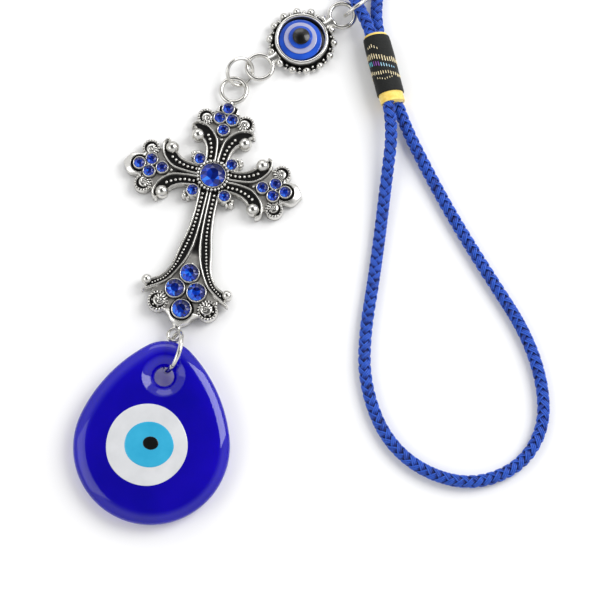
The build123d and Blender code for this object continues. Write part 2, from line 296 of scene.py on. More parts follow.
def ramp(tree, source, stops, target=None):
    """A colour ramp of (place, colour) stops, linked to a target socket if one is given."""
    n = node(tree, "ShaderNodeValToRGB")
    ends = n.color_ramp.elements
    while len(ends) < len(stops):
        ends.new(0.5)
    for end, (place, colour) in zip(ends, stops):
        end.position = place
        end.color = (*colour, 1)
    tree.links.new(source, n.inputs["Fac"])
    if target is not None:
        tree.links.new(n.outputs["Color"], target)
    return n.outputs["Color"]


def grey(value):
    return (value, value, value)


def bump(tree, shader, source, strength, distance):
    n = node(tree, "ShaderNodeBump")
    n.inputs["Strength"].default_value = strength
    n.inputs["Distance"].default_value = distance
    tree.links.new(source, n.inputs["Height"])
    tree.links.new(n.outputs["Normal"], shader.inputs["Normal"])


def maths(tree, operation, a, b):
    n = node(tree, "ShaderNodeMath", operation=operation)
    for socket, value in zip(n.inputs, (a, b)):
        if isinstance(value, (int, float)):
            socket.default_value = value
        else:
            tree.links.new(value, socket)
    return n.outputs[0]


def mottled(tree, scale, detail, amount):
    """The mesh's own per-point tone with noise on it; the tone holds painted shade on the cord and
    sleeve and a painted glint on the stones.
    """
    patina_shade_and_glint = node(tree, "ShaderNodeAttribute", attribute_name="patina_shade_and_glint").outputs["Fac"]
    return maths(tree, "ADD", patina_shade_and_glint, maths(tree, "MULTIPLY", noise(tree, scale, detail), amount))


def cord_blue():
    m, tree, shader = material("cord_blue", Roughness=0.42, Sheen_Weight=0.22,
                               Sheen_Tint=(0.35, 0.5, 1.0, 1), Specular_IOR_Level=0.35)
    # Colour from the mesh's per-point tone: strands are painted darker where they dip under a
    # crossing, and the core is painted dark as shade.
    ramp(tree, mottled(tree, 900, 3.0, 0.5),
         [(0.15, (0.001, 0.004, 0.04)), (0.6, (0.005, 0.022, 0.22)), (1.0, (0.020, 0.095, 0.54))],
         shader.inputs["Base Color"])
    bump(tree, shader, noise(tree, 5200, 2), 0.35, 0.00006)
    return m


def thread_yellow():
    m, tree, shader = material("thread_yellow", Roughness=0.36, Sheen_Weight=0.35)
    ramp(tree, noise(tree, 700), [(0.3, (0.84, 0.56, 0.06)), (0.7, (1.0, 0.82, 0.24))],
         shader.inputs["Base Color"])
    bump(tree, shader, noise(tree, 6000, 2), 0.3, 0.00005)
    return m


def brocade_black():
    m, tree, shader = material("brocade_black", Roughness=0.7, Specular_IOR_Level=0.2,
                               Sheen_Weight=0.06)
    # Colour from the mesh's per-point tone, which is painted light on the weave: lighter on raised
    # crossings, darker elsewhere.
    ramp(tree, mottled(tree, 2200, 2, 0.6), [(0.2, grey(0.002)), (1.2, (0.018, 0.020, 0.019))],
         shader.inputs["Base Color"])
    bump(tree, shader, noise(tree, 5000, 2), 0.4, 0.00008)
    return m


def metallic_thread(name, low, high):
    m, tree, shader = material(name, Metallic=0.15, Roughness=0.32)
    ramp(tree, noise(tree, 1500), [(0.3, low), (0.7, high)], shader.inputs["Base Color"])
    bump(tree, shader, noise(tree, 5000, 2), 0.3, 0.00005)
    return m


def bright_plate():
    m, tree, shader = material("bright_plate", Metallic=1.0)
    ramp(tree, noise(tree, 260, 4), [(0.3, (0.52, 0.51, 0.48)), (0.7, (0.74, 0.73, 0.70))],
         shader.inputs["Base Color"])
    ramp(tree, noise(tree, 500, 3), [(0.3, grey(0.12)), (0.75, grey(0.26))],
         shader.inputs["Roughness"])
    bump(tree, shader, noise(tree, 700, 3), 0.12, 0.00006)
    return m


def antique_silver():
    """Bright plating that turns black where the mesh's patina value is high."""
    m, tree, shader = material("antique_silver", Specular_IOR_Level=0.12)
    patina_shade_and_glint = node(tree, "ShaderNodeAttribute", attribute_name="patina_shade_and_glint").outputs["Fac"]
    patches = maths(tree, "SUBTRACT", noise(tree, 900, 4), 0.5)
    tone = maths(tree, "ADD", patina_shade_and_glint, maths(tree, "MULTIPLY", patches, 0.35))
    ramp(tree, tone, [(0.08, (0.72, 0.71, 0.68)), (0.35, (0.36, 0.35, 0.33)),
                      (0.6, (0.09, 0.088, 0.084)), (0.9, (0.008, 0.008, 0.008))],
         shader.inputs["Base Color"])
    ramp(tree, tone, [(0.4, grey(1.0)), (0.9, grey(0.35))], shader.inputs["Metallic"])
    ramp(tree, tone, [(0.05, grey(0.17)), (0.32, grey(0.5)), (0.9, grey(0.6))],
         shader.inputs["Roughness"])
    bump(tree, shader, noise(tree, 1100, 3), 0.25, 0.00008)
    return m


def gem_blue():
    """Foil-backed stone: its facets take their brightness from the mesh, which holds a painted glint
    on the lower-left facets.
    """
    m, tree, shader = material("gem_blue", Metallic=0.3, Roughness=0.16, Coat_Weight=0.35,
                               Coat_Roughness=0.02)
    ramp(tree, mottled(tree, 420, 2, 0.3),
         [(0.15, (0.0, 0.003, 0.05)), (0.5, (0.0, 0.011, 0.19)), (0.8, (0.0, 0.05, 0.62)),
          (1.15, (0.02, 0.22, 1.0))], shader.inputs["Base Color"])
    return m


def cobalt_glass():
    """Clear blue glass; shadow rays pass it tinted, so that the floor under it stays lit."""
    m, tree, shader = material("cobalt_glass", Transmission_Weight=0.62, Roughness=0.015, IOR=1.5)
    ramp(tree, noise(tree, 60, 2), [(0.3, (0.005, 0.0, 0.56)), (0.7, (0.016, 0.001, 0.74))],
         shader.inputs["Base Color"])
    bump(tree, shader, noise(tree, 45, 2), 0.08, 0.0006)
    path = node(tree, "ShaderNodeLightPath")
    clear = node(tree, "ShaderNodeBsdfTransparent")
    clear.inputs["Color"].default_value = (0.45, 0.43, 0.16, 1)
    mix = node(tree, "ShaderNodeMixShader")
    tree.links.new(path.outputs["Is Shadow Ray"], mix.inputs["Fac"])
    tree.links.new(shader.outputs["BSDF"], mix.inputs[1])
    tree.links.new(clear.outputs["BSDF"], mix.inputs[2])
    out = tree.nodes["Material Output"]
    tree.links.new(mix.outputs[0], out.inputs["Surface"])
    tint = node(tree, "ShaderNodeVolumeAbsorption")
    tint.inputs["Color"].default_value = (0.16, 0.0, 0.90, 1)
    tint.inputs["Density"].default_value = 160.0
    tree.links.new(tint.outputs["Volume"], out.inputs["Volume"])
    return m


def enamel(name, low, high, rough=0.12, coat=0.6):
    """Opaque glass or resin with faint cloudiness under a gloss."""
    m, tree, shader = material(name, Roughness=rough, Coat_Weight=coat, Coat_Roughness=0.04)
    ramp(tree, noise(tree, 180, 3), [(0.3, low), (0.7, high)], shader.inputs["Base Color"])
    bump(tree, shader, noise(tree, 140, 2), 0.05, 0.0002)
    return m


MATS = {
    "cord": cord_blue(), "thread": thread_yellow(), "brocade": brocade_black(),
    "gold": metallic_thread("gold_thread", (0.60, 0.46, 0.22), (1.0, 0.90, 0.62)),
    "turquoise": metallic_thread("turquoise_thread", (0.05, 0.30, 0.40), (0.14, 0.60, 0.72)),
    "purple": metallic_thread("purple_thread", (0.12, 0.02, 0.22), (0.26, 0.06, 0.42)),
    "pale_blue": metallic_thread("pale_blue_thread", (0.20, 0.45, 0.65), (0.50, 0.78, 0.90)),
    "plate": bright_plate(), "silver": antique_silver(), "gem": gem_blue(),
    "glass": cobalt_glass(),
    "white_glass": enamel("white_glass", (0.60, 0.61, 0.63), (0.68, 0.69, 0.71)),
    "light_blue_glass": enamel("light_blue_glass", (0.025, 0.35, 0.58), (0.045, 0.42, 0.66)),
    "black_glass": enamel("black_glass", grey(0.001), grey(0.004), 0.25, coat=0.1),
    "blue_resin": enamel("blue_resin", (0.008, 0.05, 0.36), (0.02, 0.10, 0.62)),
    "white_resin": enamel("white_resin", (0.30, 0.31, 0.50), (0.42, 0.43, 0.60)),
    "black_resin": enamel("black_resin", grey(0.003), grey(0.009), 0.2, coat=0.1),
}


# ================================================================ camera, light and floor
def make_camera():
    lean = math.radians(90 - VIEW_ELEVATION)
    data = bpy.data.cameras.new("camera")
    data.lens = VIEW_LENS
    data.sensor_width = 36.0
    data.clip_end = 10.0
    camera = bpy.data.objects.new("camera", data)
    away = Vector((0, -math.sin(lean), math.cos(lean))) * VIEW_DISTANCE
    camera.location = (Vector(VIEW_AT) + away) * MM
    camera.rotation_euler = (lean, 0, 0)
    bpy.context.collection.objects.link(camera)
    bpy.context.scene.camera = camera


def add_light(name, at, size, power):
    data = bpy.data.lights.new(name, "AREA")
    data.shape = "RECTANGLE"
    data.size, data.size_y = size
    data.energy = power
    lamp = bpy.data.objects.new(name, data)
    lamp.location = at
    toward = Vector(LIGHT_AIM) - Vector(at)
    lamp.rotation_euler = toward.to_track_quat("-Z", "Y").to_euler()
    bpy.context.collection.objects.link(lamp)


def make_studio():
    """Soft lights, a white tent that is dark overhead, and a pale floor."""
    for light in LIGHTS:
        add_light(*light)
    world = bpy.data.worlds.new("studio")
    world.use_nodes = True
    tree = world.node_tree
    toward = node(tree, "ShaderNodeSeparateXYZ")
    tree.links.new(node(tree, "ShaderNodeTexCoord").outputs["Generated"], toward.inputs[0])
    sky = tree.nodes["Background"]
    ramp(tree, toward.outputs["Z"], [(0.0, grey(0.55)), (0.3, grey(0.85)), (0.75, grey(0.95)),
                                     (0.93, grey(0.09))], sky.inputs["Color"])
    sky.inputs["Strength"].default_value = 1.0
    bpy.context.scene.world = world
    bpy.context.scene.view_settings.view_transform = "Standard"
    corners = np.array([(-1, -1, 0), (1, -1, 0), (1, 1, 0), (-1, 1, 0)]) * FLOOR_SIDE
    build = Build().add(corners - UP * FLOOR_DROP, [[0, 1, 2, 3]])
    m, tree, shader = material("floor_white", Roughness=0.7)
    ramp(tree, noise(tree, 3.0), [(0.3, grey(0.90)), (0.7, grey(0.93))],
         shader.inputs["Base Color"])
    floor = build.make("floor", [m], smooth=False)


# ================================================================ cord
def route_points(name, route):
    """The smooth line of a cord: a NURBS spline with the route's points as control points."""
    data = bpy.data.curves.new(name, "CURVE")
    data.dimensions = "3D"
    data.resolution_u = 24
    spline = data.splines.new("NURBS")
    spline.points.add(len(route) - 1)
    for point, place in zip(spline.points, route):
        point.co = (*[v * MM for v in place], 1)
    spline.order_u = 3
    spline.use_endpoint_u = True
    line = bpy.data.objects.new(name, data)
    bpy.context.collection.objects.link(line)
    bpy.context.view_layer.update()
    shown = line.evaluated_get(bpy.context.evaluated_depsgraph_get())
    mesh = bpy.data.meshes.new_from_object(shown)
    points = np.array([v.co[:] for v in mesh.vertices]) / MM
    bpy.data.objects.remove(line)
    bpy.data.curves.remove(data)
    bpy.data.meshes.remove(mesh)
    return points


def braid(build, line):
    """A round braid of flat strands that cross over and under, about a core; the under parts and the
    core are painted dark as shade.
    """
    points, s = resample(line, BRAID_STEP)
    side = unit(np.cross(unit(np.gradient(points, axis=0)), UP))
    up = np.cross(side, unit(np.gradient(points, axis=0)))
    drift = 0.5 * np.sin(s / 21.0 + 0.9) + 0.14 * np.sin(s / 6.3)
    middle = CORD_R - YARN_T - WEAVE_DEPTH
    for way in (1, -1):
        for carrier in range(CARRIERS):
            base = way * TAU * s / LAY_LENGTH + TAU * carrier / CARRIERS
            base = base + (TAU / 8 if way < 0 else 0.0)
            over = np.clip(1.5 * np.sin(2 * base), -1, 1) * way
            for yarn in range(YARNS):
                place = yarn - (YARNS - 1) / 2
                angle = base + place * YARN_PITCH / middle + drift
                round_off = 0.07 * place**2 + 0.03 * (yarn % 2)
                radius = middle + WEAVE_DEPTH * over - round_off
                out = side * np.cos(angle)[:, None] + up * np.sin(angle)[:, None]
                centre = points + out * radius[:, None]
                run = unit(np.gradient(centre, axis=0))
                across = unit(np.cross(run, out))
                lift = np.cross(across, run)
                rows = tube_rows(centre, across, -lift, oval(YARN_W, YARN_T, 6))
                # Painted shade: a strand's colour darkens where it dips under a crossing strand; the
                # rest of the tone varies at random.
                tone = 0.38 + 0.42 * over + RNG.normal(0, 0.14)
                tone = tone + 0.08 * np.sin(s / RNG.uniform(1.2, 2.4))
                add_tube(build, rows, 0, np.clip(np.repeat(tone, 6), 0, 1))
    # The core keeps the darkest tone, as painted shade in the gaps between strands.
    add_tube(build, tube_rows(points, side, up, oval(middle - 0.25, middle - 0.25, 10)))
    return points


def make_cord(name, route, node_name):
    line = route_points(name + "_line", route)
    build = Build()
    points = braid(build, line)
    piece = build.make(name, [MATS["cord"]])
    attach(piece, "hanger")
    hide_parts(node_name)


# ================================================================ sleeve
def sleeve_frame(distance):
    """Centre, side and up directions of the sleeve's section at a distance below its top."""
    s, c = math.sin(SLEEVE_TURN), math.cos(SLEEVE_TURN)
    distance = np.asarray(distance, float)
    centre = SLEEVE_TOP + distance[..., None] * np.array([s, -c, 0.0])
    return centre, np.array([c, s, 0.0]), UP


def sleeve_point(distance, angle, inset=0.0):
    """A point on the sleeve's oval, this far inside its surface."""
    centre, side, up = sleeve_frame(distance)
    share = np.asarray(distance, float) / SLEEVE_LENGTH
    scale = np.interp(share, *SLEEVE_SWELL)
    a = (SLEEVE_AXES[0] * scale - inset) * np.cos(angle - SLEEVE_ROLL)
    b = (SLEEVE_AXES[1] * scale - inset) * np.sin(angle - SLEEVE_ROLL)
    c, s = math.cos(SLEEVE_ROLL), math.sin(SLEEVE_ROLL)
    x, z = a * c - b * s, a * s + b * c
    return centre + x[..., None] * side + z[..., None] * up


def make_sleeve():
    rows, columns = 90, 200
    angle = np.arange(columns) * TAU / columns
    hem = [(0.9, SLEEVE_WALL), (0.0, SLEEVE_WALL), (-0.02, 0.2), (0.12, 0.03)]
    profile = hem + [(d, 0.0) for d in np.linspace(0.3, SLEEVE_LENGTH - 0.3, rows)]
    profile += [(SLEEVE_LENGTH - d, inset) for d, inset in hem[::-1]]
    grid, tone = [], []
    for distance, inset in profile:
        rib = 0.5 + 0.5 * math.cos(TAU * distance / RIB_PITCH)
        warp = 0.5 + 0.5 * np.cos(angle * WARPS)
        weave = WEAVE_RELIEF * (1 - 0.6 * rib * warp - 0.4 * (1 - rib) * (1 - warp))
        grid.append(sleeve_point(np.full(columns, distance), angle, inset + weave))
        # Painted light on the weave: the highest crossings of rib and warp are coloured lighter and
        # the rest darker, as painted light and shade.
        tone.append(rib * warp)
    build = Build()
    build.add(np.concatenate(grid), grid_faces(len(grid), columns, around=True), 0,
              np.concatenate(tone))
    add_dashes(build)
    mats = [MATS[k] for k in ("brocade", "gold", "turquoise", "purple", "pale_blue")]
    sleeve = build.make("brocade_sleeve", mats)
    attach(sleeve, "hanger")
    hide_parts("woven_sleeve")


def add_dash(build, distance, angle, length, slot, width=0.035):
    """One float of metallic thread: a thin raised pillow along the sleeve's axis."""
    t = np.linspace(-1, 1, 7)
    lift = 0.09 * np.sqrt(np.clip(1 - t**2, 0, 1))
    section = ((-1.0, 0.0), (-0.55, 0.8), (0.0, 1.0), (0.55, 0.8), (1.0, 0.0))
    rows = [sleeve_point(np.array(distance + step * length / 2), np.array(angle + across * width),
                         0.05 - raised * share - 0.03 * share)
            for step, raised in zip(t, lift) for across, share in section]
    build.add(np.array(rows), grid_faces(len(t), len(section))[:, ::-1], slot)


def add_dashes(build):
    """Rows of floats, slanted round the sleeve: gold zigzags either side of a coloured row."""
    columns, group = 34, 17                 # round the sleeve, and in one repeat of the pattern
    gold, turquoise, purple, pale_blue = 1, 2, 3, 4
    for k in range(columns):
        angle = math.radians(162) - k * TAU / columns
        slant = 1.25 * math.cos(angle) * (1 if math.sin(angle) > 0 else -0.4)
        place = k % group
        jitter = RNG.normal(0, 0.05)
        wave = abs(((place + 0.5) / group * 2) % 1 - 0.5) * 2
        middle = 8.6 + slant
        add_dash(build, middle - 2.2 + 0.45 * wave + jitter, angle, RNG.uniform(1.2, 1.7), gold)
        add_dash(build, middle + 2.45 - 0.3 * wave - 0.3 * slant + jitter, angle,
                 RNG.uniform(0.8, 1.15), gold)
        if place < 3:
            add_dash(build, middle, angle, 1.35, turquoise, 0.042)
        elif place < 6:
            add_dash(build, middle, angle, 1.3, purple, 0.042)
        elif place < 12:
            add_dash(build, middle + 0.1, angle, 1.05 - 0.1 * (place - 6), pale_blue, 0.034)
        if 2 <= place <= 6:
            off = abs(place - 4)
            add_dash(build, 3.5 + 0.9 * slant + off * 0.3, angle, 1.0 - 0.2 * off, gold, 0.028)
        if 3 <= place <= 9:
            add_dash(build, 12.7 + 0.3 * slant - abs(place - 6) * 0.2, angle, 0.45, gold, 0.028)


def make_whipping():
    """Close turns of thread at each end of the sleeve, with a solid core under them."""
    build = Build()
    for low, high in ((-WHIP_TOP + THREAD_R, WHIP_INSIDE),
                      (SLEEVE_LENGTH - WHIP_INSIDE, SLEEVE_LENGTH + WHIP_BELOW - THREAD_R)):
        pitch = THREAD_R * 1.72
        turns = (high - low) / pitch
        t = np.linspace(0, turns, int(turns * 72))
        distance = low + t * pitch
        centre = sleeve_point(distance, t * TAU, SLEEVE_WALL + THREAD_R + 0.03)
        along = unit(np.gradient(centre, axis=0))
        out = unit(centre - sleeve_frame(distance)[0])
        across = unit(np.cross(along, out))
        rows = tube_rows(centre, across, np.cross(across, along), oval(THREAD_R, THREAD_R, 8))
        add_tube(build, rows)
        angle = np.arange(72) * TAU / 72
        core = [sleeve_point(np.full(72, d), angle, SLEEVE_WALL + 0.3) for d in (low, high)]
        add_tube(build, np.array(core))
    whipping = build.make("thread_winding", [MATS["thread"]])
    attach(whipping, "hanger")
    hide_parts("thread_whipping")


def make_bound_strands():
    build = Build()
    for side in (-1, 1):
        ends = []
        for distance in (STRAND_INSET, SLEEVE_LENGTH - STRAND_INSET):
            centre, across, up = sleeve_frame(distance)
            ends.append(centre + across * side * STRAND_SIDE - up * side * STRAND_RISE)
        braid(build, np.array(ends))
    strands = build.make("bound_strands", [MATS["cord"]])
    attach(strands, "hanger")
    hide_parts("bound_strand_left", "bound_strand_right")


# ================================================================ rings
def make_ring(name, node_name, size, body, seam):
    """A jump ring of round wire with its cut ends meeting at a fine gap, at the seam's angle."""
    gap = 0.012
    t = np.linspace(seam + gap, seam + TAU - gap, 120)
    out = np.stack([np.cos(t), np.sin(t), 0 * t], -1)
    centre = out * size["r"] + UP * (0.02 * (t - t.mean()))[:, None]
    build = Build()
    add_tube(build, tube_rows(centre, out, np.broadcast_to(UP, out.shape),
                              oval(size["wire"], size["wire"], 20)))
    turn = turn_about(2, size["heading"]) @ turn_about(1, size["lean"])
    ring = build.make(name, [MATS["plate"]], place_at(size["at"], turn))
    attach(ring, body)
    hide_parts(node_name)


def loop_rows(centre, radius, wire):
    t = np.arange(72) * TAU / 72
    out = np.stack([np.cos(t), np.sin(t), 0 * t], -1)
    return tube_rows(np.array(centre) + out * radius, out, np.broadcast_to(UP, out.shape),
                     oval(wire, wire, 16))


# ================================================================ eye connector
GRANULE_R, GRANULE_RING_R, GRANULE_Z = 0.95, 8.2, 1.85
GRANULE_PITCH, GRANULE_STARTS, GRANULES_PER_SIDE = 25.7, (47.4, 227.4), 7
# Radius, height and darkness along the back plate and up, over and down inside the bezel.
BACK = [(0.001, 0, 0.2), (7.6, 0, 0.2), (8.0, 0.15, 0.3), (8.2, 0.6, 0.7), (8.2, 1.1, 1),
        (8.0, 1.45, 1), (7.6, 1.55, 1), (7.0, 1.5, 1)]
BEZEL = [(7.1, 1.3, 1), (7.12, 2.4, 0.85), (7.07, 3.5, 0.35), (6.98, 3.9, 0.05), (6.78, 4.08, 0),
         (6.55, 4.10, 0), (6.33, 4.02, 0), (6.18, 3.85, 0.1), (6.10, 3.5, 0.6), (6.10, 0.9, 0.9)]
EYE_LOOPS = [(-11.04, -7.33, 1.986), (10.73, 7.25, 2.0)]
EYE_LOOP_R, EYE_LOOP_WIRE = 3.375, 0.61
STUB_FROM, STUB_TO = 7.3, 10.25
# Piece, node, material slot, centre, radius, bottom, top and crown of each poured layer.
EYE_LAYERS = [("resin_base", "eye_base", "blue_resin", (-0.35, -0.12), 5.62, 1.02, 3.6, 0.3),
              ("resin_white", "eye_white", "white_resin", (-0.35, 0.2), 4.35, 3.2, 3.92, 0.22),
              ("resin_blue", "eye_blue", "blue_resin", (-0.3, 0.3), 3.2, 3.6, 4.35, 0.25),
              ("resin_pupil", "eye_pupil", "black_resin", (-0.15, 0.4), 2.25, 4.0, 5.1, 0.45)]


def lathe(build, profile, values=0.0, centre=(0, 0), wobble=0.0):
    """A turned shape from (radius, height) points, out of round by the wobble."""
    count = 96
    t = np.arange(count) * TAU / count
    profile = np.array(profile, float)
    round_off = 1 + wobble * np.cos(3 * t + 0.5) + wobble * 0.6 * np.cos(5 * t + 2.0)
    radius = profile[:, :1] * round_off
    rows = np.stack([centre[0] + radius * np.cos(t), centre[1] + radius * np.sin(t),
                     np.repeat(profile[:, 1:], count, 1)], -1)
    value = np.repeat(np.broadcast_to(values, len(profile)), count)
    faces = grid_faces(len(profile), count, around=True)[:, ::-1]
    build.add(rows.reshape(-1, 3), faces, 0, value)


def direction(angle):
    """Unit vector at an angle in the floor's plane, and the one to its left."""
    out = np.array([math.cos(angle), math.sin(angle), 0])
    return out, np.array([-out[1], out[0], 0])


def add_granules(build):
    """Two rows of balls round the bezel, with two grains between each pair."""
    for start in GRANULE_STARTS:
        for k in range(GRANULES_PER_SIDE):
            turn = math.radians(start + k * GRANULE_PITCH)
            radius = GRANULE_R * RNG.uniform(0.98, 1.08)
            place = direction(turn)[0] * (GRANULE_RING_R + 0.15) + UP * GRANULE_Z
            add_ball(build, place, radius * 1.12, 1)
            if k < GRANULES_PER_SIDE - 1:
                between = direction(turn + math.radians(GRANULE_PITCH) * 0.5)[0]
                add_ball(build, between * 8.45 + UP * 1.1, 0.5, 1, 14)
                add_ball(build, between * 7.72 + UP * 1.9, 0.36, 1, 12)


def make_connector():
    at = spot("eye_base")
    place = place_at((at[0], at[1], 0), np.eye(3))
    build = Build()
    for profile, wobble in ((BACK, 0.0), (BEZEL, 0.0035)):
        profile = np.array(profile, float)
        lathe(build, profile[:, :2], profile[:, 2], wobble=wobble)
    add_granules(build)
    for x, y, z in EYE_LOOPS:
        add_tube(build, loop_rows((x, y, z), EYE_LOOP_R, EYE_LOOP_WIRE), 1, closed=True)
        out, side = direction(math.atan2(y, x))
        t = np.linspace(STUB_FROM, STUB_TO, 9)
        share = (t - STUB_FROM) / (STUB_TO - STUB_FROM)
        half = 1.75 - 0.45 * np.sin(share * math.pi) + 0.1 * share
        rows = np.array([out * d + UP * z + side * w * p[0] + UP * p[1] for d, w in zip(t, half)
                         for p in oval(1.0, 0.8, 16)]).reshape(len(t), 16, 3)
        add_tube(build, rows, 1)
        for edge in (-1, 1):
            add_ball(build, out * 8.1 + side * edge * 1.75 + UP * (z + 0.15), 0.85, 1, 18)
            add_ball(build, out * 9.9 + side * edge * 1.25 + UP * z, 0.6, 1, 14)
    frame_piece = build.make("connector_casting", [MATS["silver"], MATS["plate"]], place)
    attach(frame_piece, "eye_connector")
    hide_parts("connector_frame")
    make_eye(place)


def make_eye(place):
    """The poured resin eye: a blue dome with white, blue and black layers stacked on it."""
    for name, node_name, mat, centre, radius, low, high, crown in EYE_LAYERS:
        edge = high - crown - 0.12
        profile = [(0.001, low), (radius * 0.98, low), (radius, (low + edge) / 2), (radius, edge)]
        for share in np.linspace(0, 1, 9):
            turn = share * math.pi / 2
            reach = 0.93 + 0.07 * math.cos(turn) if share < 1 else 0.93
            profile.append((radius * reach, edge + 0.12 * math.sin(turn)))
        for share in np.linspace(0.92, 0.001, 14):
            profile.append((radius * 0.93 * share, high - crown * share**2))
        build = Build()
        lathe(build, profile, centre=centre, wobble=0.004)
        piece = build.make(name, [MATS[mat]], place)
        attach(piece, "eye_connector")
        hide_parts(node_name)


# ================================================================ cross
SMALL_STONE_R, LARGE_STONE_R, STONE_TOP = 1.35, 2.25, 3.5
CENTRE_STONE = (0.1, 0.4, 3.2, 4.2)             # x, y, radius and top
CORNER_STONE = (4.2, 4.35)
SHORT_ARM_STONES = [(0.0, 13.3), (-1.65, 16.4), (1.65, 16.4), (0.0, 19.3)]
LONG_ARM_STONES = [(0.0, -26.3), (-2.8, -30.9), (2.8, -30.9), (0.0, -35.9)]
# Half outlines, rims and milled edges of the arms, for the upper arm and for the long one.
SHORT_WEB = [(0, 1.5), (2.7, 1.5), (2.8, 8), (4.0, 11), (5.6, 14), (6.0, 17.0), (3.6, 18.3),
             (3.0, 19.0)]
LONG_WEB = [(0, -1.5), (1.5, -1.5), (1.5, -20), (6.0, -29), (8.6, -32.0), (8.6, -35.5),
            (4.2, -37.0), (3.1, -38.0), (2.3, -39.2), (1.0, -40.0), (0, -40.9), (-1, -40.9),
            (-1, -1.5)]
RIM = [(0.36, 2.6), (0.40, 5.0), (0.5, 7.0), (1.0, 10.2), (2.3, 12.3), (4.2, 13.8), (6.2, 14.4),
       (7.6, 14.1), (8.2, 13.2)]
EDGE = [(2.75, 2.9), (2.8, 4.5), (2.9, 6.0), (3.3, 8.0), (4.15, 9.6), (4.9, 10.3)]
LONG_RIM = [(0.38, -3.0), (0.45, -8), (0.5, -12), (0.68, -16), (1.15, -20), (2.45, -24),
            (4.9, -28.4), (7.0, -30.3), (9.3, -31.7), (11.0, -32.6)]
LONG_EDGE = [(2.5, -3.0), (2.55, -10), (3.1, -15), (4.15, -20), (5.1, -24.8), (6.9, -27.9),
             (8.6, -29.1), (9.6, -29.5)]
RIM_R, EDGE_R = 0.24, 0.23
WEB_Z, BAND_Z, RIM_Z, EDGE_Z = 2.0, 2.35, 2.85, 2.62
PEARL_LINE = [(1.65, 4.3), (1.7, 5.6), (1.75, 6.9), (2.1, 8.3), (2.5, 9.4), (3.0, 10.4),
              (3.55, 11.35), (4.15, 12.05)]
LONG_PEARL_LINE = [(1.5, -4.6), (1.55, -9), (1.75, -13), (2.2, -17), (3.1, -21), (4.1, -24.6),
                   (6.0, -28.2), (7.8, -29.7), (9.4, -30.9)]
PEARL_R, PEARL_PITCH = 0.43, 1.2
# x, y and radius of each arm's balls and scrolls.
TOP_BALL, TOP_CURL = (6.25, 11.0, 1.8), (5.3, 16.2, 2.35)
SIDE_BALL, SIDE_CURL = (6.1, 12.05, 1.8), (4.9, 17.4, 2.35)
FOOT_BALL, FOOT_CURL = (10.5, -29.85, 1.4), (6.5, -34.85, 2.7)
CROSS_LOOPS = [(0.14, 25.0, 1.977, 3.325, 0.65), (-0.3, -42.7, 1.95, 1.65, 0.45)]
RELIEF_STEP = 0.11
FAR = 1e9                   # distance given where nothing is near


def line_distance(x, y, line, closed=False):
    """Distance of each point to a line of straight runs, and how far along it the foot is."""
    line = np.asarray(line, float)
    if closed:
        line = np.vstack([line, line[:1]])
    best = np.full(x.shape, FAR)
    along = np.zeros(x.shape)
    done = 0.0
    for a, b in zip(line, line[1:]):
        run = b - a
        length = math.hypot(*run)
        if length < 1e-9:
            continue
        t = np.clip(((x - a[0]) * run[0] + (y - a[1]) * run[1]) / length**2, 0, 1)
        d = np.hypot(x - a[0] - t * run[0], y - a[1] - t * run[1])
        nearer = d < best
        best = np.where(nearer, d, best)
        along = np.where(nearer, done + t * length, along)
        done += length
    return best, along


def inside(x, y, outline):
    """Signed distance to a closed outline, negative inside."""
    outline = np.asarray(outline, float)
    hit = np.zeros(x.shape, bool)
    for a, b in zip(outline, np.roll(outline, -1, 0)):
        crosses = (a[1] > y) != (b[1] > y)
        slope = (b[0] - a[0]) / (b[1] - a[1] if b[1] != a[1] else 1e-12)
        hit ^= crosses & (x < a[0] + (y - a[1]) * slope)
    distance, _ = line_distance(x, y, outline, closed=True)
    return np.where(hit, -distance, distance)


class Relief:
    """A height and a darkness over a patch of points, built up from simple features."""

    def __init__(self, x, y):
        self.x, self.y = x, y
        self.edge = np.full(x.shape, FAR)
        self.height = np.zeros(x.shape)
        self.dark = np.full(x.shape, 0.35)

    def area(self, distance, height, dark, soft=0.12):
        """Raises the inside of a shape to a height, with a softened step."""
        share = np.clip(0.5 - distance / soft, 0, 1)
        share = share * share * (3 - 2 * share)
        higher = np.maximum(self.height, height)
        self.height = self.height + (higher - self.height) * share
        self.dark = self.dark + (dark - self.dark) * share * (height >= self.height - 1e-6)
        self.edge = np.minimum(self.edge, distance)

    def groove(self, distance, width, depth, dark=1.0):
        share = np.clip(1 - distance / width, 0, 1)
        self.height = self.height - depth * share
        self.dark = np.maximum(self.dark, dark * np.clip(share * 1.8, 0, 1))

    def shade(self, distance, reach, dark=0.95):
        """Darkens round the foot of a raised feature."""
        share = np.clip(1 - distance / reach, 0, 1)
        self.dark = np.maximum(self.dark, dark * share)


def bezels(relief, stones, wall=0.36):
    for x, y, radius, top in stones:
        d = np.hypot(relief.x - x, relief.y - y)
        relief.shade(np.abs(d - radius - wall), 0.42)
        relief.area(d - radius - wall, top, 0.0, 0.16)
        hollow = np.clip((radius + 0.04 - d) / 0.10, 0, 1)
        relief.height = relief.height * (1 - hollow) + np.minimum(relief.height, top - 0.9) * hollow
        relief.dark = np.maximum(relief.dark, hollow)


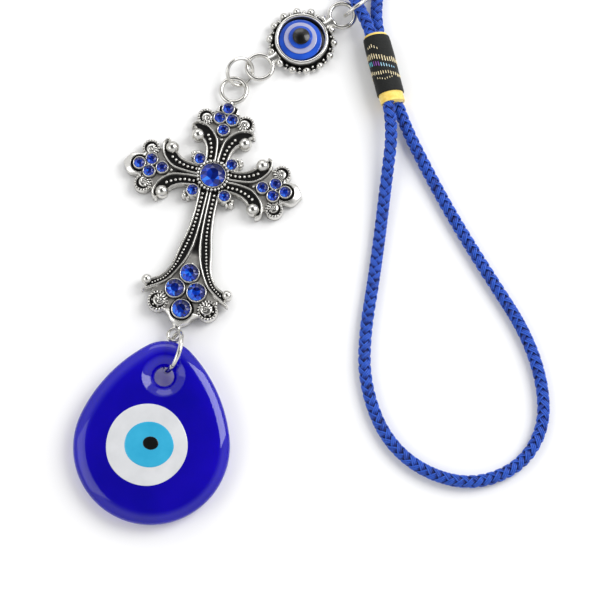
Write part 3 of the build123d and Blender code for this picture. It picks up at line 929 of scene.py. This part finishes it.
def curl(relief, x, y, radius, notches, inward=1):
    """A scroll: a toothed rim, a dark channel in it and a fluted shell with a dark eye."""
    dx, dy = relief.x - x, relief.y - y
    d, turn = np.hypot(dx, dy), np.arctan2(dy, dx)
    relief.area(d - radius, 2.05, 0.95)
    ring = np.abs(d - (radius - 0.34)) - 0.34
    relief.area(ring, 2.75, 0.05, 0.22)
    bite = np.clip(1.45 - 2.3 * (0.5 + 0.5 * np.cos(turn * notches)), 0, 1)
    bite = bite * np.clip((d - (radius - 0.62)) / 0.2, 0, 1) * np.clip(-ring / 0.1, 0, 1)
    relief.height -= 0.45 * bite
    relief.dark = np.maximum(relief.dark, bite)
    shell = radius * 0.6
    sx, sy = dx + 0.13 * radius, dy + inward * 0.12 * radius
    d, turn = np.hypot(sx, sy), np.arctan2(sy, sx)
    across = np.clip(d / shell, 0, 1)
    dome = 0.55 * np.sqrt(np.clip(1 - across**2, 0, 1)) + 0.2 * across
    relief.area(d - shell, 2.25 + dome, 0.05, 0.18)
    flutes = np.clip(1.2 - 2.4 * (0.5 + 0.5 * np.cos(turn * 11)), 0, 1) * (turn * inward < -0.3)
    flutes = flutes * np.clip((across - 0.45) / 0.1, 0, 1) * (d < shell)
    eye = np.clip(1 - np.abs(np.hypot(sx + 0.2, sy) / shell - 0.36) / 0.13, 0, 1) * (sx < 0.25)
    sunk = np.maximum(flutes, eye)
    relief.height -= 0.3 * sunk
    relief.dark = np.maximum(relief.dark, 0.95 * sunk)


def distance_from(relief, place):
    return np.hypot(relief.x - place[0], relief.y - place[1])


def arm_bands(relief, rim, edge, corner, rim_half, ball):
    """The dark band between a rim and a milled edge, their beds, and the bed of the ball."""
    band = np.vstack([rim, *corner, edge[::-1]])
    relief.area(inside(relief.x, relief.y, band), BAND_Z, 1.0)
    on_rim, _ = line_distance(relief.x, relief.y, rim)
    on_edge, _ = line_distance(relief.x, relief.y, edge)
    relief.area(on_rim - rim_half, BAND_Z + 0.1, 0.6, 0.1)
    relief.area(on_edge - 0.22, BAND_Z + 0.1, 0.6, 0.1)
    relief.area(distance_from(relief, ball) - ball[2] * 0.8, 2.2, 1.0)


def short_arm(x, y, ball, scroll, tip):
    """The raised design of one short arm that points up +Y."""
    relief = Relief(np.abs(x), y)
    web = SHORT_WEB + [(3.0, tip - 2.2), (2.5, tip - 1.3), (1.3, tip - 0.5), (0, tip + 0.2),
                       (-1, tip + 0.2), (-1, 1.5)]
    in_web = inside(relief.x, relief.y, web)
    relief.area(in_web, WEB_Z, 0.36 + 0.55 * np.clip((11.5 - relief.y) / 2, 0, 1))
    arm_bands(relief, smooth_line(RIM), smooth_line(EDGE), [(7.4, 12.9)], 0.34, ball)
    curl(relief, *scroll, 17)
    from_end = distance_from(relief, SHORT_ARM_STONES[-1])
    tongue = np.maximum(in_web, relief.x - 3.1)
    fall = 3.05 - 0.42 * np.clip(from_end - 2.3, 0, 3)
    relief.area(np.maximum(tongue, 18.2 - relief.y), fall, 0.05, 0.2)
    relief.groove(np.abs(from_end - 2.05) * (relief.y > 18.0) + 9 * (relief.y <= 18.0), 0.38, 0.7)
    bezels(relief, [(*stone, SMALL_STONE_R, STONE_TOP) for stone in SHORT_ARM_STONES])
    return relief


def long_arm(x, y):
    """The raised design of the long arm, which points down -Y."""
    relief = Relief(np.abs(x), y)
    in_web = inside(relief.x, relief.y, LONG_WEB)
    relief.area(in_web, WEB_Z, 0.36 + 0.55 * np.clip((relief.y + 21.5) / 2, 0, 1))
    arm_bands(relief, smooth_line(LONG_RIM), smooth_line(LONG_EDGE), [], 0.36, FOOT_BALL)
    curl(relief, *FOOT_CURL, 19, -1)
    from_end = distance_from(relief, LONG_ARM_STONES[-1])
    fall = 3.1 - 0.45 * np.clip(from_end - 3.0, 0, 3)
    relief.area(np.maximum(in_web, relief.y + 36.4), fall, 0.05, 0.2)
    relief.groove(np.abs(from_end - 2.85), 0.3, 0.6)
    bezels(relief, [(*stone, LARGE_STONE_R, STONE_TOP) for stone in LONG_ARM_STONES])
    return relief


def hub_relief(x, y):
    """The middle of the cross: corner stones, their tips and the seat of the centre stone."""
    hub = Relief(x, y)
    hub.area(np.hypot(x, y) - 5.3, WEB_Z, 0.8)
    for sx, sy in ((1, 1), (-1, 1), (-1, -1), (1, -1)):
        corner = np.hypot(x - sx * CORNER_STONE[0], y - sy * CORNER_STONE[1])
        hub.area(corner - 1.85, 2.3, 0.9)
        for size, dx, dy in ((0.72, 6.25, 5.95), (0.5, 5.1, 6.35), (0.5, 6.35, 4.9)):
            tip = np.hypot(x - sx * dx, y - sy * dy)
            hub.area(tip - size, 2.1 + np.sqrt(np.clip(size**2 - tip**2, 0, None)), 0.1, 0.1)
    around = distance_from(hub, CENTRE_STONE)
    hub.shade(np.abs(around - 4.2), 0.7, 1.0)
    hub.area(around - 4.25, 3.45, 0.95, 0.2)
    bezels(hub, [(sx * CORNER_STONE[0], sy * CORNER_STONE[1], SMALL_STONE_R, STONE_TOP)
                 for sx in (-1, 1) for sy in (-1, 1)])
    bezels(hub, [CENTRE_STONE], 0.22)
    return hub


def spread(near, arm):
    """An arm's edge, height and darkness on the whole grid, with plain values elsewhere."""
    full = [np.full(near.shape, FAR), np.zeros(near.shape), np.full(near.shape, 0.35)]
    for store, value in zip(full, (arm.edge, arm.height, arm.dark)):
        store[near] = value
    return full


def cross_relief():
    """Height, darkness and edge distance of the whole casting over a regular grid."""
    x, y = np.meshgrid(np.arange(-24.6, 24.6, RELIEF_STEP), np.arange(-42.0, 22.6, RELIEF_STEP))
    arms = [(x, y, TOP_BALL, TOP_CURL, 21.3), (y, -x, SIDE_BALL, SIDE_CURL, 23.5),
            (-y, x, SIDE_BALL, SIDE_CURL, 23.5)]
    parts = []
    for u, v, ball, scroll, tip in arms:
        near = v > 1.0
        parts.append(spread(near, short_arm(u[near], v[near], ball, scroll, tip)))
    near = y < -1.0
    parts.append(spread(near, long_arm(x[near], y[near])))
    hub = hub_relief(x, y)
    parts.append([hub.edge, hub.height, hub.dark])
    edge = np.min([p[0] for p in parts], axis=0)
    heights = np.array([p[1] for p in parts])
    tallest = heights.argmax(0)
    height = heights.max(0)
    dark = np.take_along_axis(np.array([p[2] for p in parts]), tallest[None], 0)[0]
    dark = dark * (1 - 0.85 * np.clip((edge + 0.42) / 0.2, 0, 1))
    return x, y, edge, height, dark


def relief_mesh(build, x, y, edge, height, dark):
    """Turns the grid into a closed plate: shaped top, side wall on the outline and flat back."""
    gy, gx = np.gradient(edge, RELIEF_STEP)
    size = np.maximum(np.hypot(gx, gy), 0.3)
    snap = (edge > 0) & (edge < RELIEF_STEP * 1.6)
    px = np.where(snap, x - edge * gx / size**2, x)
    py = np.where(snap, y - edge * gy / size**2, y)
    depth = np.clip(-edge, 0, 0.35)
    rounding = 0.35 - np.sqrt(np.clip(0.35**2 - (0.35 - depth)**2, 0, None))
    top = np.maximum(height - rounding * 0.9, 1.0)
    used = edge < RELIEF_STEP * 0.05
    cell = used[:-1, :-1] | used[1:, :-1] | used[:-1, 1:] | used[1:, 1:]
    rows, columns = x.shape
    index = np.arange(rows * columns).reshape(rows, columns)
    quads = np.stack([index[:-1, :-1][cell], index[:-1, 1:][cell], index[1:, 1:][cell],
                      index[1:, :-1][cell]], -1)
    keep, flat = np.unique(quads, return_inverse=True)
    quads = flat.reshape(quads.shape)
    near_top = np.stack([px.ravel(), py.ravel(), top.ravel()], -1)[keep]
    fixed = snap.ravel()[keep]
    near_top[fixed, 2] = np.minimum(near_top[fixed, 2], WEB_Z - 0.25)
    value = dark.ravel()[keep]
    edges = np.concatenate([quads[:, [k, (k + 1) % 4]] for k in range(4)])
    low = np.sort(edges, 1)
    code = low[:, 0] * len(keep) + low[:, 1]
    _, first, count = np.unique(code, return_index=True, return_counts=True)
    rim = edges[first[count == 1]]
    bottom = near_top * [1, 1, 0]
    n = len(keep)
    wall = np.stack([rim[:, 1], rim[:, 0], rim[:, 0] + n, rim[:, 1] + n], -1)
    faces = np.concatenate([quads, quads[:, ::-1] + n, wall])
    build.add(np.vstack([near_top, bottom]), faces, 0, np.concatenate([value, np.full(n, 0.4)]))


def add_wire(build, line, height, radius):
    """A half-sunk bright rim along a line in the plane of the cross, and its mirror image."""
    points, _ = resample(np.column_stack([line, np.full(len(line), height)]), 0.3)
    along = unit(np.gradient(points, axis=0))
    side = unit(np.cross(along, UP))
    rows = tube_rows(points, side, np.broadcast_to(UP, side.shape),
                     oval(radius, radius * 1.05, 8))
    add_tube(build, rows)
    add_tube(build, (rows * [-1, 1, 1])[:, ::-1])


def arm_details(build, turn, ball):
    """Rims, pearls and balls of a short arm, turned to its direction."""
    local = Build()
    add_wire(local, smooth_line(RIM), RIM_Z, RIM_R)
    add_wire(local, smooth_line(EDGE), EDGE_Z, EDGE_R)
    middle = smooth_line(PEARL_LINE)
    along = distances(middle)
    for x, y in at_distance(middle, along, np.arange(0.2, along[-1], PEARL_PITCH)):
        for side in (-1, 1):
            add_ball(local, (side * x, y, BAND_Z + 0.2), PEARL_R, 0, 12)
    add_ball(local, (0, 10.9, WEB_Z + 0.25), 0.46, 0, 14)
    for side in (-1, 1):
        add_ball(local, (side * ball[0], ball[1], 2.0), ball[2], 0, 36)
    spin = turn_about(2, turn)
    for points, faces in zip(local.points, local.faces):
        build.add(points @ spin.T, faces - faces.min(), 0)


def foot_details(build):
    """Rims, pearls and balls of the long arm; its pearls get smaller and closer downward."""
    add_wire(build, smooth_line(LONG_RIM), RIM_Z, RIM_R * 0.85)
    add_wire(build, smooth_line(LONG_EDGE), EDGE_Z, EDGE_R)
    middle = smooth_line(LONG_PEARL_LINE)
    along = distances(middle)
    s = 0.0
    while s < along[-1]:
        share = s / along[-1]
        x, y = at_distance(middle, along, s)
        for side in (-1, 1):
            add_ball(build, (side * x, y, BAND_Z + 0.2), PEARL_R - 0.17 * share, 0, 12)
        s += PEARL_PITCH - 0.44 * min(1.0, share * 1.2)
    for side in (-1, 1):
        add_ball(build, (side * FOOT_BALL[0], FOOT_BALL[1], 2.0), FOOT_BALL[2], 0, 32)
        for k in range(7):
            out = direction(k * TAU / 7)[0] * 1.45
            add_ball(build, (side * (FOOT_CURL[0] + out[0]), FOOT_CURL[1] + out[1], 2.2), 0.3, 0, 10)
    add_ball(build, (0, -23.5, 2.2), 0.42, 0, 12)


def cross_details():
    build = Build()
    for turn, ball in ((0, TOP_BALL), (90, SIDE_BALL), (-90, SIDE_BALL)):
        arm_details(build, turn, ball)
    foot_details(build)
    for k in range(26):
        out = direction(k * TAU / 26)[0] * 3.93
        add_ball(build, (CENTRE_STONE[0] + out[0], CENTRE_STONE[1] + out[1], 3.72), 0.42, 0, 14)
    for x, y, z, radius, wire in CROSS_LOOPS:
        add_tube(build, loop_rows((x, y, z), radius, wire), closed=True)
        sign = 1 if y > 0 else -1
        reach = np.linspace(abs(y) - radius - 1.4, abs(y) - radius + 0.1, 6)
        rows = np.array([(x * 0.5 + w * p[0], sign * r, z + p[1] * wire * 1.05)
                         for r, w in zip(reach, (1.5, 1.35, 1.15, 1.0, 1.0, 1.15))
                         for p in oval(1.0, 1.0, 14)]).reshape(6, 14, 3)
        add_tube(build, rows if sign < 0 else rows[:, ::-1])
    return build


def cross_place():
    """The cross's own frame, found from the places of its outermost stones."""
    up = unit(spot("stone_top_4") - spot("stone_bottom_4"))
    right = spot("stone_right_4") - spot("stone_left_4")
    right = unit(right - up * right.dot(up))
    turn = np.stack([right, up, np.cross(right, up)], -1)
    depth, crown = SMALL_STONE_R * 0.75, SMALL_STONE_R * 0.28
    height = STONE_TOP + (crown - depth) / 2
    return place_at(spot("stone_top_4") - turn @ (*SHORT_ARM_STONES[-1], height), turn)


def make_stone(name, place, x, y, radius, top, spin):
    """A round cut stone: flat table, eight kites, girdle facets, and a point below."""
    n = 8
    t = spin + np.arange(n) * TAU / n
    half = t + TAU / (2 * n)
    crown = radius * 0.34
    both = np.sort(np.concatenate([t, half]))
    rings = [(half, radius * 0.50, top + crown), (t, radius * 0.74, top + crown * 0.72),
             (both, radius, top + 0.02), (both, radius, top - 0.2)]
    points = [np.stack([r * np.cos(a), r * np.sin(a), np.full(len(a), z)], -1)
              for a, r, z in rings]
    points.append(np.array([[0, 0, top + crown], [0, 0, top - radius * 0.74]]))
    p = np.vstack(points) + [x, y, 0]
    table, star, girdle, low, mid, culet = 0, n, 2 * n, 4 * n, 6 * n, 6 * n + 1
    faces = []
    for k in range(n):
        k1 = (k + 1) % n
        a, b, c = (girdle + (2 * k + step) % (2 * n) for step in (1, 2, 3))
        faces += [(mid, table + k, table + k1), (table + k, star + k1, table + k1),
                  (star + k1, b, c), (star + k1, a, b), (table + k, a, star + k1),
                  (table + k, star + k, a)]
    for k in range(2 * n):
        k1 = (k + 1) % (2 * n)
        faces += [(girdle + k, low + k, low + k1), (girdle + k, low + k1, girdle + k1),
                  (low + k, culet, low + k1)]
    faces = np.array(faces)
    corners = p[faces].reshape(-1, 3)
    middle = p[faces].mean(1) - [x, y, 0]
    # Painted glint: facets towards the stone's lower left are coloured brighter, with random tone
    # added.
    glint = (middle[:, :2] / radius) @ np.array([-0.55, -0.8])
    tone = np.clip(0.30 + 0.5 * glint + RNG.normal(0, 0.2, len(faces)), 0.02, 1.0)
    build = Build()
    build.add(corners, np.arange(len(corners)).reshape(-1, 3), 0, np.repeat(tone, 3))
    stone = build.make("cut_" + name, [MATS["gem"]], place, smooth=False, weld=False)
    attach(stone, "cross")
    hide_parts(name)


def make_cross():
    place = cross_place()
    build = Build()
    relief_mesh(build, *cross_relief())
    relief = build.make("cross_relief", [MATS["silver"]], place)
    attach(relief, "cross")
    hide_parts("cross_casting")
    details = cross_details().make("cross_rims_and_pearls", [MATS["plate"]], place)
    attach(details, "cross")
    inverse = np.linalg.inv(place)
    for name in frame["record"]["behaviour"]["bodies"]["cross"]:
        if not name.startswith("stone_"):
            continue
        x, y, _ = inverse[:3, :3] @ spot(name) + inverse[:3, 3]
        if name == "stone_center":
            radius, top = CENTRE_STONE[2:]
        else:
            radius = LARGE_STONE_R if "bottom" in name else SMALL_STONE_R
            top = STONE_TOP
        make_stone(name, place, x, y, radius, top, RNG.uniform(0, TAU))


# ================================================================ glass drop
DROP_AT, DROP_LEAN, DROP_TIP, DROP_T = (-14.81, -32.75, 2.16), 9.5, 3.5, 5.6
FOOT_Y, FOOT_R, TOP_Y, TOP_R, FLANK_R, HOLE_R = -17.8, 19.6, -0.15, 9.2, 38.0, 2.5
BUBBLES = [(-9.6, -8.1, 3.6, 0.34), (-14.2, -14.6, 3.2, 0.22), (-15.6, -17.8, 2.8, 0.18),
           (-13.4, -21.9, 3.4, 0.26), (-15.0, -23.6, 2.6, 0.16), (10.6, -29.5, 3.0, 0.32),
           (12.4, -27.0, 3.4, 0.18), (6.2, -33.2, 3.0, 0.16), (-4.4, -31.4, 3.2, 0.18)]
# Piece, node, material slot, centre, radii, edge height, middle height and depth of each disc.
DISCS = [("white_disc", "drop_white", "white_glass", (-1.0, -17.9), (10.15, 10.25), 0.03, 0.09,
          0.45),
         ("light_blue_disc", "drop_light_blue", "light_blue_glass", (-0.45, -17.75), (6.2, 5.75),
          0.10, 0.17, 0.3),
         ("pupil_disc", "drop_pupil", "black_glass", (-0.1, -17.35), (1.98, 1.68), 0.19, 0.23,
          0.25)]


def drop_edge(x, y):
    """Distance inside the egg outline, from its foot, top and flank circles."""
    foot_gap, top_gap = FLANK_R - FOOT_R, FLANK_R - TOP_R
    level = (top_gap**2 - foot_gap**2 + FOOT_Y**2 - TOP_Y**2) / (2 * (FOOT_Y - TOP_Y))
    centre_x = -math.sqrt(foot_gap**2 - (level - FOOT_Y)**2)
    ax = np.abs(x)
    low_turn = math.atan2(FOOT_Y - level, -centre_x)
    high_turn = math.atan2(TOP_Y - level, -centre_x)
    turn = np.arctan2(y - level, ax - centre_x)
    flank = FLANK_R - np.hypot(ax - centre_x, y - level)
    foot = FOOT_R - np.hypot(ax, y - FOOT_Y)
    top = TOP_R - np.hypot(ax, y - TOP_Y)
    return np.where(turn < low_turn, foot, np.where(turn > high_turn, top, flank))


def rounded(distance, reach, power):
    """Falls from 1 at an edge to 0 at the reach, along a curve that is steep at the edge."""
    return 1 - np.sqrt(np.clip(1 - (1 - np.clip(distance / reach, 0, 1))**power, 0, 1))


def edge_and_hole(x, y):
    """How far each point is from the outline and from the hole."""
    return np.clip(drop_edge(x, y), 0, None), np.clip(np.hypot(x, y) - HOLE_R, 0, None)


def drop_top(x, y):
    """Height of the glass's upper face: level, rounded over at the edge and round the hole."""
    edge, from_hole = edge_and_hole(x, y)
    dip = 1 - np.clip(from_hole / 3.1, 0, 1)
    return DROP_T - 2.4 * rounded(edge, 7.2, 3.0) - 1.5 * dip**1.2 - 0.7 * dip**7


def drop_back(x, y):
    edge, from_hole = edge_and_hole(x, y)
    return 2.2 * rounded(edge, 2.4, 2.0) + 2.0 * rounded(from_hole, 2.2, 2.0)


def make_drop():
    place = place_at(DROP_AT, turn_about(2, -DROP_LEAN) @ turn_about(0, DROP_TIP))
    around, steps = 300, 110
    turn = np.arange(around) * TAU / around
    far = np.zeros(around)
    for k, t in enumerate(turn):
        low, high = 2.6, 60.0
        for _ in range(40):
            mid = (low + high) / 2
            if drop_edge(np.array(mid * math.cos(t)), np.array(mid * math.sin(t))) > 0:
                low = mid
            else:
                high = mid
        far[k] = low
    share = (1 - np.cos(np.linspace(0, math.pi, steps))) / 2
    radius = HOLE_R + share[:, None] * (far - HOLE_R)[None]
    x, y = radius * np.cos(turn), radius * np.sin(turn)
    front = np.stack([x, y, drop_top(x, y)], -1)
    back = np.stack([x, y, drop_back(x, y)], -1)
    rows = np.concatenate([front, back[::-1]])
    build = Build()
    faces = grid_faces(len(rows), around, around=True, closed=True)[:, ::-1]
    build.add(rows.reshape(-1, 3), faces)
    for x, y, z, size in BUBBLES:
        add_ball(build, (x, y, z), size, 0, 14, 0.8)
    glass = build.make("glass_body", [MATS["glass"]], place)
    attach(glass, "glass_drop")
    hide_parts("drop_glass")
    for disc in DISCS:
        make_disc(place, *disc)


def make_disc(place, name, node_name, mat, centre, radii, low, high, deep):
    """A fused disc: a slightly uneven oval, sunk in the glass and low-domed above it."""
    count = 120
    t = np.arange(count) * TAU / count
    wave = 1 + 0.006 * np.cos(3 * t + 1) + 0.004 * np.cos(5 * t)
    profile = [(0.0005, -deep), (0.96, -deep), (1.0, -deep * 0.4), (1.0, low * 0.5)]
    profile += [(max(share, 0.0005), low + (high - low) * (1 - share**2))
                for share in np.linspace(0.985, 0.0, 12)]
    rows = [np.stack([centre[0] + radii[0] * r * wave * np.cos(t),
                      centre[1] + radii[1] * r * wave * np.sin(t),
                      np.full(count, DROP_T + z)], -1) for r, z in profile]
    build = Build()
    build.add(np.concatenate(rows), grid_faces(len(rows), count, around=True)[:, ::-1])
    disc = build.make(name, [MATS[mat]], place)
    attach(disc, "glass_drop")
    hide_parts(node_name)


# ================================================================ make everything
make_camera()
make_cord("hanging_loop", HANGING_ROUTE, "hanging_loop_cord")
make_cord("charm_loop", CHARM_ROUTE, "charm_loop_cord")
make_studio()
make_bound_strands()
make_sleeve()
make_whipping()
make_ring("cord_jump_ring", "cord_ring", CORD_RING, "cord_ring", 2.4)
make_ring("link_jump_ring", "link_ring", LINK_RING, "link_ring", 0.8)
make_ring("drop_jump_ring", "drop_ring", DROP_RING, "drop_ring", 4.0)
make_connector()
make_cross()
make_drop()
